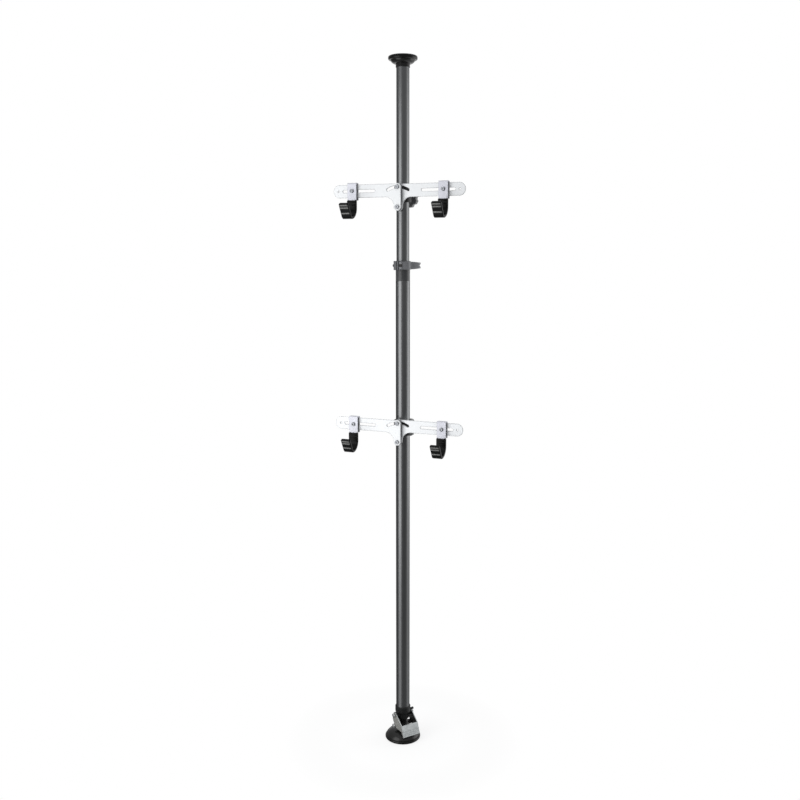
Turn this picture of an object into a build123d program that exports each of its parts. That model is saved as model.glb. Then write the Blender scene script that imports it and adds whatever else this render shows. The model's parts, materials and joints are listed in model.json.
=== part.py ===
from build123d import *
import os
from math import cos, hypot, isclose, pi, radians, sin

# Floor-to-ceiling bike stand: two telescoping tubes, a cam foot, a ring clamp and two pairs of hook arms.
# Millimetres, +Z up, origin on the floor at the pole axis, front of the stand towards -Y.

# Whole stand
stand_height = 2210.0
upper_mount_rise = 194.0
lower_mount_drop = 477.0

# Tubes
lower_tube_diameter = 45.0
upper_tube_diameter = 40.0
tube_wall = 1.5
lower_tube_length = 1439.0
upper_tube_length = 1400.0

# Clearances
running_clearance = 0.08
seat_clearance = 0.1
side_clearance = 0.3

# Foot
base_radius = 59.0
sole_thickness = 9.0
sole_edge_radius = 4.0
dome_inset = 3.5
dome_height = 23.0
dome_lip = 3.0
neck_radius = 19.0
stem_radius = 12.0
stem_length = 67.5
spigot_radius = 15.0
spigot_length = 17.0
foot_screw_radius = 4.0
foot_screw_head_radius = 8.0
foot_screw_head_height = 4.0
foot_screw_length = 20.0
pedal_azimuth = 53.0
foot_pin_radius = 4.0
foot_pin_head_radius = 7.0
foot_pin_head_length = 6.2
guide_boss_radius = 8.0
guide_pin_rise = 15.0
guide_pin_cover = 10.5

# Pedal lever and its cam
pole_lift = 13.0
pedal_swing = 45.0
cam_reach = 37.0
cam_margin = 8.0
cam_steps = 8
cam_gap = 0.2
lever_inner_width = 58.6
lever_plate = 2.7
lever_crown_radius = 9.5
pedal_length = 38.0
pedal_thickness = 3.0
pedal_top_reach = 43.0
pedal_top_drop = 21.0
pedal_slope = 22.0
pedal_lip = 6.0
pedal_rib_radius = 1.3
pedal_rib_count = 3
pedal_rib_pitch = 6.5

# Collar round the foot of the lower tube
collar_radius = 25.5
collar_taper_radius = 21.0
collar_socket_depth = 18.0
collar_web = 11.0
collar_boss_radius = 10.0
collar_edge = 1.5
stop_radius = 4.0
stop_reach = 13.0
stop_rise = 16.0
collar_ground_gap = 1.0

# Guide bush and ring clamp at the top of the lower tube
bush_band_height = 34.0
bush_skirt_length = 60.0
bush_collet_wall = 1.9
bush_slit_count = 4
bush_slit_width = 1.6
ring_height = 28.0
ring_wall = 4.0
ring_chamfer = 3.0
lug_azimuth = -14.0
lug_reach = 34.0
lug_left = 11.0
lug_right = 8.0
lug_slit = 2.5
lug_chamfer = 3.0
clamp_screw_radius = 2.5
clamp_screw_head_radius = 4.4
clamp_screw_head_length = 3.6
clamp_screw_offset = 29.5
eye_radius = 4.2
eye_height = 8.0
lever_pin_radius = 2.0
knuckle_radius = 4.6
ring_lever_thickness = 4.5
ring_lever_height = 24.0
ring_lever_tip_height = 17.0
ring_lever_start_angle = 24.0
ring_lever_wrap_angle = 56.0
ring_lever_tip = (52.4, 21.3)
ring_lever_notch = 6.5
lever_clearance = 0.8

# Glide at the foot of the upper tube, cap and pad at its head
glide_length = 40.0
glide_floor = 3.0
pad_radius = 45.0
pad_thickness = 12.0
pad_edge_radius = 4.5
cap_skirt_wall = 1.7
cap_skirt_length = 10.0
cap_bowl_height = 11.0
cap_bowl_radius = 38.0
cap_bowl_rim_slope = (-0.35, -0.94)

# Sliding mount: grip liner and clamp body
liner_thickness = 2.0
liner_slit = 2.0
clamp_height = 48.0
clamp_rise = 10.0
clamp_wall = 4.2
clamp_lip = 2.0
clamp_lip_gap = 0.5
strip_gap = 3.0
clamp_face_offset = 9.0
rear_boss_radius = 13.0
rear_boss_offset = 18.0
press_pad_radius = 7.0
press_pad_length = 4.0
press_pad_travel = 2.5
clamp_edge = 1.0

# Knob on the back of the clamp
stud_radius = 4.0
knob_radius = 28.0
knob_grip_length = 18.0
knob_hub_radius = 12.0
knob_hub_length = 6.0
knob_standoff = 2.0
knob_scallops = 7
knob_scallop_radius = 8.0
knob_scallop_depth = 3.5
knob_edge = 2.5

# Arms
bolt_spacing = 60.0
arm_plate = 4.0
arm_height = 40.0
arm_drop = 10.0
arm_reach = 215.0
arm_web_flat = 1.5
arm_edge = 0.6
hub_radius = 11.5
hub_spacing = 9.8
spacer_inset = 0.6
tilt_angle = 30.0
tilt_margin_angle = 1.0
arm_bolt_radius = 4.0
arm_bolt_head_radius = 6.5
arm_bolt_head_height = 4.5
bolt_socket_radius = 2.9
bolt_socket_depth = 2.5
arm_slot_start = 73.5
arm_slot_inset = 31.5
end_hole_radius = 3.0
end_hole_inset = 18.0

# Hooks
hook_station = 147.5
saddle_width = 30.0
saddle_wall = 3.0
saddle_top_gap = 2.0
glide_block = 7.0
glide_inset = 0.6
saddle_overhang = 8.0
saddle_bend_radius = 3.0
tang_width = 22.0
tang_length = 22.0
hook_width = 32.0
hook_bend_radius = 35.0
hook_heel_radius = 14.0
hook_lean = 30.0
hook_thickness = 9.0
hook_drop = 58.0
hook_lip = 49.0
hook_edge = 2.0
hook_back_cover = 1.5
hook_bolt_radius = 4.0
hook_bolt_head_radius = 6.0
hook_bolt_head_height = 4.5
hook_nut_radius = 7.5
hook_nut_height = 6.5

# Radii that follow from the tubes
lower_tube_radius = lower_tube_diameter / 2
upper_tube_radius = upper_tube_diameter / 2
lower_bore_radius = lower_tube_radius - tube_wall
upper_bore_radius = upper_tube_radius - tube_wall
bush_bore_radius = upper_tube_radius + running_clearance
collet_radius = bush_bore_radius + bush_collet_wall
ring_bore_radius = collet_radius + seat_clearance
ring_radius = ring_bore_radius + ring_wall

# Heights, built up from the floor
dome_top = sole_thickness + dome_height
guide_pin_height = dome_top + guide_pin_rise
neck_top = guide_pin_height + guide_pin_cover
pedal_pivot_height = guide_pin_height + cam_reach
collar_bottom = neck_top + pole_lift + collar_ground_gap
tube_seat_height = pedal_pivot_height + collar_web
collar_top = tube_seat_height + collar_socket_depth
stem_top = neck_top + stem_length
lower_tube_top = tube_seat_height + lower_tube_length
ring_seat = lower_tube_top + bush_band_height
pad_bottom = stand_height - pad_thickness
upper_tube_top = pad_bottom - cap_skirt_wall
upper_tube_foot = upper_tube_top - upper_tube_length
upper_mount_height = ring_seat + ring_height + upper_mount_rise
lower_mount_height = lower_tube_top - lower_mount_drop

# Places across the foot's axle
lever_inner = lever_inner_width / 2
lever_outer = lever_inner + lever_plate
boss_reach = lever_inner - side_clearance
foot_pin_reach = lever_outer + side_clearance


def save(piece, name):
    """Labels a finished piece and writes it to its own file."""
    piece.part.label = name
    export_step(piece.part, f"parts/{name}.step")


def rims_of(piece, radius):
    """Circular edges of a piece that have the given radius."""
    return piece.edges().filter_by(GeomType.CIRCLE).filter_by(lambda rim: isclose(rim.radius, radius))


def turned_plane(height, azimuth):
    """Level plane on the pole axis whose front, -Y, is turned by azimuth degrees towards +X."""
    turn = radians(azimuth)
    return Plane(origin=(0, 0, height), x_dir=(cos(turn), sin(turn), 0), z_dir=(0, 0, 1))


def foot_plane(height):
    """Upright plane square to the foot's axle: x runs out to the pedal, y runs up."""
    turn = radians(pedal_azimuth)
    return Plane(origin=(0, 0, height), x_dir=(sin(turn), -cos(turn), 0), z_dir=(-cos(turn), -sin(turn), 0))


def front_plane(depth, height):
    """Upright plane facing the front, depth millimetres in front of the pole axis."""
    return Plane(origin=(0, -depth, height), x_dir=(1, 0, 0), z_dir=(0, -1, 0))


def side_plane(station, height):
    """Upright plane seen from the side: x runs forward from the pole axis, y runs up."""
    return Plane(origin=(station, 0, height), x_dir=(0, -1, 0), z_dir=(-1, 0, 0))


def cam_point(angle, shrink):
    """Point of the cam edge, angle radians behind straight down, set in from the pin's path by shrink."""
    rate = pole_lift / radians(pedal_swing)
    reach = cam_reach - rate * angle
    along = (-sin(angle), -cos(angle))
    across = (-cos(angle), sin(angle))
    size = hypot(reach, rate)
    inward = [(reach * along[i] + rate * across[i]) / size for i in range(2)]
    return tuple(reach * along[i] - shrink * inward[i] for i in range(2))


def foot_pin(height):
    """Headed pin across the foot at the given height."""
    with BuildPart() as pin:
        with BuildSketch(foot_plane(height)):
            Circle(foot_pin_radius)
        extrude(amount=foot_pin_reach, both=True)
        with BuildSketch(foot_plane(height).offset(foot_pin_reach)):
            Circle(foot_pin_head_radius)
        extrude(amount=foot_pin_head_length)
        with BuildSketch(foot_plane(height).offset(-foot_pin_reach)):
            Circle(foot_pin_head_radius)
        extrude(amount=-foot_pin_head_length)
        rims = rims_of(pin, foot_pin_head_radius).sort_by(Axis((0, 0, 0), foot_plane(0).z_dir))
        fillet([rims[0], rims[-1]], radius=foot_pin_head_length / 3)
    return pin


def make_foot():
    """Base, post, pins, collar and pedal lever."""
    with BuildPart() as foot_sole:
        with BuildSketch():
            Circle(base_radius)
        extrude(amount=sole_thickness)
        fillet(rims_of(foot_sole, base_radius), radius=sole_edge_radius)
        with BuildSketch(Plane.XY.offset(sole_thickness)):
            Circle(foot_screw_head_radius + side_clearance)
        extrude(amount=-foot_screw_head_height - side_clearance, mode=Mode.SUBTRACT)
    save(foot_sole, "foot_sole")

    dome_radius = base_radius - dome_inset
    shoulder = sole_thickness + dome_lip
    with BuildPart() as foot_dome:
        with BuildSketch(Plane.XZ):
            with BuildLine():
                crown = TangentArc((neck_radius, dome_top), (dome_radius, shoulder), tangent=(1, 0))
                Polyline(crown @ 1, (dome_radius, sole_thickness), (0, sole_thickness), (0, dome_top), crown @ 0)
            make_face()
        revolve(axis=Axis.Z)
        with BuildSketch(Plane.XY.offset(dome_top)):
            Circle(spigot_radius + seat_clearance)
        extrude(amount=-spigot_length - seat_clearance, mode=Mode.SUBTRACT)
        with BuildSketch(Plane.XY.offset(sole_thickness)):
            Circle(foot_screw_radius + seat_clearance)
        extrude(amount=dome_height, mode=Mode.SUBTRACT)
    save(foot_dome, "foot_dome")

    spigot_bottom = dome_top - spigot_length
    screw_seat = sole_thickness - seat_clearance
    screw_tip = screw_seat + foot_screw_length
    with BuildPart() as foot_screw:
        with BuildSketch(Plane.XY.offset(screw_seat - foot_screw_head_height)):
            Circle(foot_screw_head_radius)
        extrude(amount=foot_screw_head_height)
        chamfer(foot_screw.edges().group_by(Axis.Z)[0], length=foot_screw_head_height / 4)
        with BuildSketch(Plane.XY.offset(screw_seat)):
            Circle(foot_screw_radius)
        extrude(amount=foot_screw_length)
    save(foot_screw, "foot_screw")

    slot_length = pole_lift + 2 * (foot_pin_radius + side_clearance)
    slot_middle = pedal_pivot_height - pole_lift / 2
    with BuildPart() as foot_post:
        with BuildSketch(Plane.XY.offset(spigot_bottom)):
            Circle(spigot_radius)
        extrude(amount=spigot_length)
        with BuildSketch(Plane.XY.offset(dome_top + seat_clearance)):
            Circle(neck_radius)
        extrude(amount=neck_top - dome_top - seat_clearance)
        with BuildSketch(Plane.XY.offset(dome_top)):
            Circle(spigot_radius)
        extrude(amount=2 * seat_clearance)
        with BuildSketch(Plane.XY.offset(neck_top)):
            Circle(stem_radius)
        extrude(amount=stem_length)
        with BuildSketch(foot_plane(guide_pin_height)):
            Circle(guide_boss_radius)
        extrude(amount=boss_reach, both=True)
        with BuildSketch(foot_plane(guide_pin_height)):
            Circle(foot_pin_radius + seat_clearance)
        extrude(amount=boss_reach, both=True, mode=Mode.SUBTRACT)
        with BuildSketch(foot_plane(slot_middle)):
            SlotOverall(slot_length, 2 * (foot_pin_radius + side_clearance), rotation=90)
        extrude(amount=stem_radius, both=True, mode=Mode.SUBTRACT)
        with BuildSketch(Plane.XY.offset(spigot_bottom)):
            Circle(foot_screw_radius + seat_clearance)
        extrude(amount=screw_tip + seat_clearance - spigot_bottom, mode=Mode.SUBTRACT)
        chamfer(foot_post.edges().group_by(Axis.Z)[-1], length=collar_edge)
    save(foot_post, "foot_post")

    save(foot_pin(guide_pin_height), "foot_guide_pin")
    save(foot_pin(pedal_pivot_height), "pedal_pivot_pin")

    with BuildPart() as foot_collar:
        with BuildSketch(Plane.XZ):
            with BuildLine():
                Polyline(
                    (0, collar_bottom),
                    (collar_taper_radius, collar_bottom),
                    (collar_taper_radius, pedal_pivot_height),
                    (collar_radius, tube_seat_height),
                    (collar_radius, collar_top),
                    (0, collar_top),
                    close=True,
                )
            make_face()
        revolve(axis=Axis.Z)
        chamfer(foot_collar.edges().group_by(Axis.Z)[-1], length=collar_edge)
        with BuildSketch(foot_plane(pedal_pivot_height)):
            Circle(collar_boss_radius)
        extrude(amount=boss_reach, both=True)
        with BuildSketch(foot_plane(pedal_pivot_height)):
            with Locations((stop_reach, stop_rise)):
                Circle(stop_radius)
        extrude(amount=foot_pin_reach, both=True)
        with BuildSketch(Plane.XY.offset(collar_bottom)):
            Circle(stem_radius + running_clearance)
        extrude(amount=collar_top - collar_bottom, mode=Mode.SUBTRACT)
        with BuildSketch(Plane.XY.offset(tube_seat_height)):
            Circle(lower_tube_radius + seat_clearance)
        extrude(amount=collar_socket_depth, mode=Mode.SUBTRACT)
        with BuildSketch(foot_plane(pedal_pivot_height)):
            Circle(foot_pin_radius + seat_clearance)
        extrude(amount=boss_reach, both=True, mode=Mode.SUBTRACT)
    save(foot_collar, "foot_collar")

    slope = radians(pedal_slope)
    down = (sin(slope), -cos(slope))
    outward = (cos(slope), sin(slope))
    pedal_top = (pedal_top_reach, -pedal_top_drop)
    pedal_bottom = tuple(pedal_top[i] + pedal_length * down[i] for i in range(2))
    pin_drop = -cam_reach
    pocket = foot_pin_radius + cam_gap
    arm_floor = pin_drop - foot_pin_radius
    cam_sweep = radians(pedal_swing + cam_margin)
    with BuildPart() as pedal_lever:
        with BuildSketch(foot_plane(pedal_pivot_height).offset(lever_inner)):
            Circle(lever_crown_radius)
            with BuildLine():
                edge = Spline([cam_point(cam_sweep * i / cam_steps, pocket) for i in range(cam_steps + 1)])
                Polyline(edge @ 1, (-lever_crown_radius, 0), (0, 0), edge @ 0)
            make_face()
            with BuildLine():
                Polyline(
                    (0, lever_crown_radius),
                    (lever_crown_radius * sin(pi / 4), lever_crown_radius * cos(pi / 4)),
                    pedal_top,
                    pedal_bottom,
                    (pedal_top_reach, arm_floor),
                    (2 * foot_pin_radius, arm_floor),
                    (pocket, pin_drop),
                    edge @ 0,
                    (0, 0),
                    close=True,
                )
            make_face()
            Circle(foot_pin_radius + running_clearance, mode=Mode.SUBTRACT)
            with Locations((0, pin_drop)):
                Circle(pocket, mode=Mode.SUBTRACT)
        extrude(amount=lever_plate)
        mirror(about=foot_plane(pedal_pivot_height))
        with BuildSketch(foot_plane(pedal_pivot_height)):
            with BuildLine():
                back_top = tuple(pedal_top[i] - pedal_thickness * outward[i] for i in range(2))
                back_bottom = tuple(pedal_bottom[i] - pedal_thickness * outward[i] for i in range(2))
                Polyline(pedal_top, pedal_bottom, back_bottom, back_top, close=True)
            make_face()
            for rib in range(pedal_rib_count):
                climb = pedal_lip + rib * pedal_rib_pitch
                rib_centre = tuple(pedal_bottom[i] - climb * down[i] for i in range(2))
                with Locations(rib_centre):
                    Circle(pedal_rib_radius)
        extrude(amount=lever_outer, both=True)
    save(pedal_lever, "pedal_lever")


def make_pole():
    """Lower tube, guide bush, ring clamp with its lever, upper tube and ceiling pad."""
    with BuildPart() as lower_tube:
        with BuildSketch(Plane.XY.offset(tube_seat_height)):
            Circle(lower_tube_radius)
            Circle(lower_bore_radius, mode=Mode.SUBTRACT)
        extrude(amount=lower_tube_length)
    save(lower_tube, "lower_tube")

    skirt_bottom = lower_tube_top - bush_skirt_length
    collet_top = ring_seat + ring_height
    with BuildPart() as guide_bush:
        with BuildSketch(Plane.XZ):
            with BuildLine():
                Polyline(
                    (bush_bore_radius, skirt_bottom),
                    (lower_bore_radius - seat_clearance, skirt_bottom),
                    (lower_bore_radius - seat_clearance, lower_tube_top + seat_clearance),
                    (lower_tube_radius, lower_tube_top + seat_clearance),
                    (lower_tube_radius, ring_seat),
                    (collet_radius, ring_seat),
                    (collet_radius, collet_top),
                    (bush_bore_radius, collet_top),
                    close=True,
                )
            make_face()
        revolve(axis=Axis.Z)
        with BuildSketch(Plane.XY.offset(collet_top)):
            with PolarLocations(bush_bore_radius + bush_collet_wall / 2, bush_slit_count, start_angle=45):
                Rectangle(2 * bush_collet_wall, bush_slit_width)
        extrude(amount=-ring_height * 2 / 3, mode=Mode.SUBTRACT)
    save(guide_bush, "guide_bush")

    ring_bottom = ring_seat + seat_clearance
    ring_middle = ring_bottom + ring_height / 2
    ring_plane = turned_plane(ring_bottom, lug_azimuth)
    screw_plane = Plane(origin=ring_plane.from_local_coords((0, -clamp_screw_offset, ring_height / 2)),
                        x_dir=(0, 0, 1), z_dir=ring_plane.x_dir)
    with BuildPart() as clamp_ring:
        with BuildSketch(ring_plane):
            Circle(ring_radius)
            with Locations(((lug_right - lug_left) / 2, -lug_reach / 2)):
                Rectangle(lug_left + lug_right, lug_reach)
            Circle(ring_bore_radius, mode=Mode.SUBTRACT)
            with Locations((0, -lug_reach / 2)):
                Rectangle(lug_slit, lug_reach, mode=Mode.SUBTRACT)
        extrude(amount=ring_height)
        chamfer(rims_of(clamp_ring, ring_radius), length=ring_chamfer)
        lug_corner = ring_plane.from_local_coords((lug_right, -lug_reach, ring_height / 2))
        chamfer(clamp_ring.edges().sort_by_distance(lug_corner)[0], length=lug_chamfer)
        with BuildSketch(screw_plane):
            Circle(clamp_screw_radius + seat_clearance)
        extrude(amount=lug_reach, both=True, mode=Mode.SUBTRACT)
    save(clamp_ring, "clamp_ring")

    pin_place = (lug_right + knuckle_radius + side_clearance, -clamp_screw_offset)
    with BuildPart() as clamp_screw:
        with BuildSketch(screw_plane.offset(-lug_left - seat_clearance)):
            Circle(clamp_screw_radius)
        extrude(amount=lug_left + seat_clearance + pin_place[0])
        with BuildSketch(screw_plane.offset(-lug_left - seat_clearance)):
            Circle(clamp_screw_head_radius)
        extrude(amount=-clamp_screw_head_length)
        with BuildSketch(turned_plane(ring_middle - eye_height / 2, lug_azimuth)):
            with Locations(pin_place):
                Circle(eye_radius)
        extrude(amount=eye_height)
        with BuildSketch(turned_plane(ring_middle - eye_height / 2, lug_azimuth)):
            with Locations(pin_place):
                Circle(lever_pin_radius + seat_clearance)
        extrude(amount=eye_height, mode=Mode.SUBTRACT)
    save(clamp_screw, "clamp_screw")

    lever_plane = turned_plane(ring_middle - ring_lever_height / 2, lug_azimuth)
    with BuildPart() as lever_pin:
        with BuildSketch(lever_plane):
            with Locations(pin_place):
                Circle(lever_pin_radius)
        extrude(amount=ring_lever_height)
    save(lever_pin, "lever_pin")

    path_radius = ring_radius + lever_clearance + ring_lever_thickness / 2
    with BuildPart() as clamp_lever:
        with BuildSketch(lever_plane):
            with BuildLine():
                wrap = CenterArc((0, 0), path_radius, ring_lever_start_angle - 90, ring_lever_wrap_angle)
                TangentArc(wrap @ 1, ring_lever_tip, tangent=wrap % 1)
            trace(line_width=ring_lever_thickness)
            with Locations(pin_place):
                Circle(knuckle_radius)
        extrude(amount=ring_lever_height)
        tip = ring_lever_tip[0] + ring_lever_thickness / 2
        with BuildSketch(Plane(origin=lever_plane.from_local_coords((0, 0, ring_lever_height / 2)),
                               x_dir=lever_plane.x_dir, z_dir=-lever_plane.y_dir)):
            with BuildLine():
                Polyline(
                    (0, ring_lever_height / 2),
                    (path_radius, ring_lever_height / 2),
                    (tip, ring_lever_tip_height / 2),
                    (tip - ring_lever_notch, 0),
                    (tip, -ring_lever_tip_height / 2),
                    (path_radius, -ring_lever_height / 2),
                    (0, -ring_lever_height / 2),
                    close=True,
                )
            make_face()
        extrude(amount=2 * path_radius, both=True, mode=Mode.INTERSECT)
        with BuildSketch(lever_plane.offset((ring_lever_height - eye_height) / 2 - side_clearance)):
            with Locations(pin_place):
                Circle(knuckle_radius + side_clearance)
        extrude(amount=eye_height + 2 * side_clearance, mode=Mode.SUBTRACT)
        with BuildSketch(lever_plane):
            with Locations(pin_place):
                Circle(lever_pin_radius + running_clearance)
        extrude(amount=ring_lever_height, mode=Mode.SUBTRACT)
    save(clamp_lever, "clamp_lever")

    with BuildPart() as upper_tube:
        with BuildSketch(Plane.XY.offset(upper_tube_foot)):
            Circle(upper_tube_radius)
            Circle(upper_bore_radius, mode=Mode.SUBTRACT)
        extrude(amount=upper_tube_length)
    save(upper_tube, "upper_tube")

    glide_bottom = upper_tube_foot - glide_floor
    with BuildPart() as mast_glide:
        with BuildSketch(Plane.XY.offset(glide_bottom)):
            Circle(lower_bore_radius - running_clearance)
        extrude(amount=glide_length)
        with BuildSketch(Plane.XY.offset(upper_tube_foot - seat_clearance)):
            Circle(upper_tube_radius + seat_clearance)
        extrude(amount=glide_length, mode=Mode.SUBTRACT)
    save(mast_glide, "mast_glide")

    cap_bottom = pad_bottom - cap_bowl_height - cap_skirt_length
    bowl_bottom = pad_bottom - cap_bowl_height
    skirt_radius = upper_tube_radius + seat_clearance + cap_skirt_wall
    with BuildPart() as ceiling_cap:
        with BuildSketch(Plane.XZ):
            with BuildLine():
                TangentArc((cap_bowl_radius, pad_bottom), (skirt_radius, bowl_bottom), tangent=cap_bowl_rim_slope)
                Polyline(
                    (skirt_radius, bowl_bottom),
                    (skirt_radius, cap_bottom),
                    (0, cap_bottom),
                    (0, pad_bottom),
                    (cap_bowl_radius, pad_bottom),
                )
            make_face()
        revolve(axis=Axis.Z)
        with BuildSketch(Plane.XY.offset(cap_bottom)):
            Circle(upper_tube_radius + seat_clearance)
        extrude(amount=upper_tube_top + seat_clearance - cap_bottom, mode=Mode.SUBTRACT)
    save(ceiling_cap, "ceiling_cap")

    with BuildPart() as ceiling_pad:
        with BuildSketch(Plane.XY.offset(pad_bottom)):
            Circle(pad_radius)
        extrude(amount=pad_thickness)
        fillet(ceiling_pad.edges().filter_by(GeomType.CIRCLE), radius=pad_edge_radius)
    save(ceiling_pad, "ceiling_pad")


def arm_outline(side):
    """Flat outline of one arm in the plane of its mount, with its slots and holes."""
    pivot = (0, -bolt_spacing / 2)
    centre_line = bolt_spacing / 2 - arm_drop
    web_radius = bolt_spacing - arm_drop - arm_height / 2 - arm_web_flat
    slot_end = arm_reach - arm_slot_inset
    with BuildSketch() as outline:
        with Locations((side * (arm_reach - arm_height / 2) / 2, centre_line)):
            Rectangle(arm_reach - arm_height / 2, arm_height)
        with Locations((side * (arm_reach - arm_height / 2), centre_line)):
            Circle(arm_height / 2)
        SlotOverall(bolt_spacing + 2 * hub_radius, 2 * hub_radius, rotation=90)
        inside_corner = (side * hub_radius, centre_line - arm_height / 2)
        fillet(outline.vertices().sort_by_distance(inside_corner)[0], radius=web_radius)
        with Locations((side * (slot_end + arm_slot_start) / 2, centre_line)):
            SlotOverall(slot_end - arm_slot_start, 2 * (hook_bolt_radius + side_clearance), mode=Mode.SUBTRACT)
        with Locations((side * (arm_reach - end_hole_inset), centre_line)):
            Circle(end_hole_radius, mode=Mode.SUBTRACT)
        with Locations(pivot):
            Circle(arm_bolt_radius + running_clearance, mode=Mode.SUBTRACT)
        sweep = CenterArc(pivot, bolt_spacing, 90, -side * (tilt_angle + tilt_margin_angle), mode=Mode.PRIVATE)
        SlotArc(sweep, 2 * (arm_bolt_radius + side_clearance), mode=Mode.SUBTRACT)
    return outline


def make_hook(name, side, plate_front, mount_height):
    """Saddle, glide block, rubber J hook and clamping bolt of one hook."""
    station = side * hook_station
    centre_line = bolt_spacing / 2 - arm_drop
    arm_top = centre_line + arm_height / 2
    arm_bottom = centre_line - arm_height / 2
    glide_back = plate_front + side_clearance
    front_inner = glide_back + glide_block + seat_clearance
    front_outer = front_inner + saddle_wall
    back_inner = plate_front - arm_plate - side_clearance
    back_outer = back_inner - saddle_wall
    roof = arm_top + saddle_top_gap + saddle_wall
    leg_bottom = arm_bottom - saddle_overhang
    profile_plane = side_plane(station, mount_height)

    with BuildPart() as saddle:
        with BuildSketch(profile_plane) as section:
            with Locations((back_outer, leg_bottom)):
                Rectangle(front_outer - back_outer, roof - leg_bottom, align=(Align.MIN, Align.MIN))
            fillet(section.vertices().group_by(Axis.Z)[-1], radius=saddle_bend_radius)
            with Locations((back_inner, leg_bottom)):
                Rectangle(front_inner - back_inner, roof - saddle_wall - leg_bottom,
                          align=(Align.MIN, Align.MIN), mode=Mode.SUBTRACT)
        extrude(amount=saddle_width / 2, both=True)
        with BuildSketch(profile_plane):
            with Locations((front_inner, arm_bottom)):
                Rectangle(saddle_wall, saddle_overhang + tang_length, align=(Align.MIN, Align.MAX))
        extrude(amount=tang_width / 2, both=True)
        with BuildSketch(front_plane(front_outer, mount_height)):
            with Locations((station, centre_line)):
                Circle(hook_bolt_radius + seat_clearance)
        extrude(amount=-(front_outer - back_outer), mode=Mode.SUBTRACT)
    save(saddle, f"{name}_saddle")

    with BuildPart() as glide:
        with BuildSketch(front_plane(glide_back, mount_height)):
            with Locations((station, (arm_top + leg_bottom) / 2)):
                Rectangle(saddle_width - 2 * glide_inset, arm_top - leg_bottom - 2 * glide_inset)
            with Locations((station, centre_line)):
                Circle(hook_bolt_radius + seat_clearance, mode=Mode.SUBTRACT)
        extrude(amount=glide_block)
        chamfer(glide.edges().filter_by(Axis.Y), length=glide_inset)
    save(glide, f"{name}_glide")

    half_thickness = hook_thickness / 2
    strap_middle = front_inner - hook_back_cover + half_thickness
    cover_top = leg_bottom - seat_clearance
    hook_bottom = leg_bottom - hook_drop
    bend_height = hook_bottom + hook_bend_radius
    tip_height = hook_bottom + hook_lip - half_thickness
    with BuildPart() as cover:
        with BuildSketch(profile_plane):
            with BuildLine():
                strap = Line((strap_middle, cover_top), (strap_middle, bend_height))
                bend = JernArc(strap @ 1, strap % 1, hook_bend_radius - half_thickness, 90)
                heel = JernArc(bend @ 1, bend % 1, hook_heel_radius - half_thickness, 90 - hook_lean)
                lip_length = (tip_height - (heel @ 1).Y) / cos(radians(hook_lean))
                lip = PolarLine(heel @ 1, lip_length, direction=heel % 1)
            trace(line_width=hook_thickness)
            with Locations(lip @ 1):
                Circle(half_thickness)
        extrude(amount=hook_width / 2, both=True)
        flanks = cover.faces().filter_by(Axis.X).edges()
        fillet(flanks.filter_by(lambda edge: edge.center().Z < mount_height + cover_top - side_clearance),
               radius=hook_edge)
        with BuildSketch(profile_plane):
            with Locations((front_inner - seat_clearance, cover_top)):
                Rectangle(saddle_wall + 2 * seat_clearance, tang_length, align=(Align.MIN, Align.MAX))
        extrude(amount=tang_width / 2 + seat_clearance, both=True, mode=Mode.SUBTRACT)
    save(cover, f"{name}_cover")

    nut_front = back_outer - seat_clearance
    with BuildPart() as bolt:
        with BuildSketch(front_plane(front_outer + seat_clearance, mount_height)):
            with Locations((station, centre_line)):
                Circle(hook_bolt_head_radius)
        extrude(amount=hook_bolt_head_height)
        fillet(bolt.edges().group_by(Axis.Y)[0], radius=hook_bolt_head_height / 3)
        with BuildSketch(front_plane(front_outer + seat_clearance + hook_bolt_head_height, mount_height)):
            with Locations((station, centre_line)):
                RegularPolygon(bolt_socket_radius, 6)
        extrude(amount=-bolt_socket_depth, mode=Mode.SUBTRACT)
        with BuildSketch(front_plane(front_outer + seat_clearance, mount_height)):
            with Locations((station, centre_line)):
                Circle(hook_bolt_radius)
        extrude(amount=-(front_outer - nut_front + hook_nut_height))
        with BuildSketch(front_plane(nut_front, mount_height)):
            with Locations((station, centre_line)):
                RegularPolygon(hook_nut_radius, 6)
                Circle(hook_bolt_radius + seat_clearance, mode=Mode.SUBTRACT)
        extrude(amount=-hook_nut_height)
    save(bolt, f"{name}_bolt")


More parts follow.
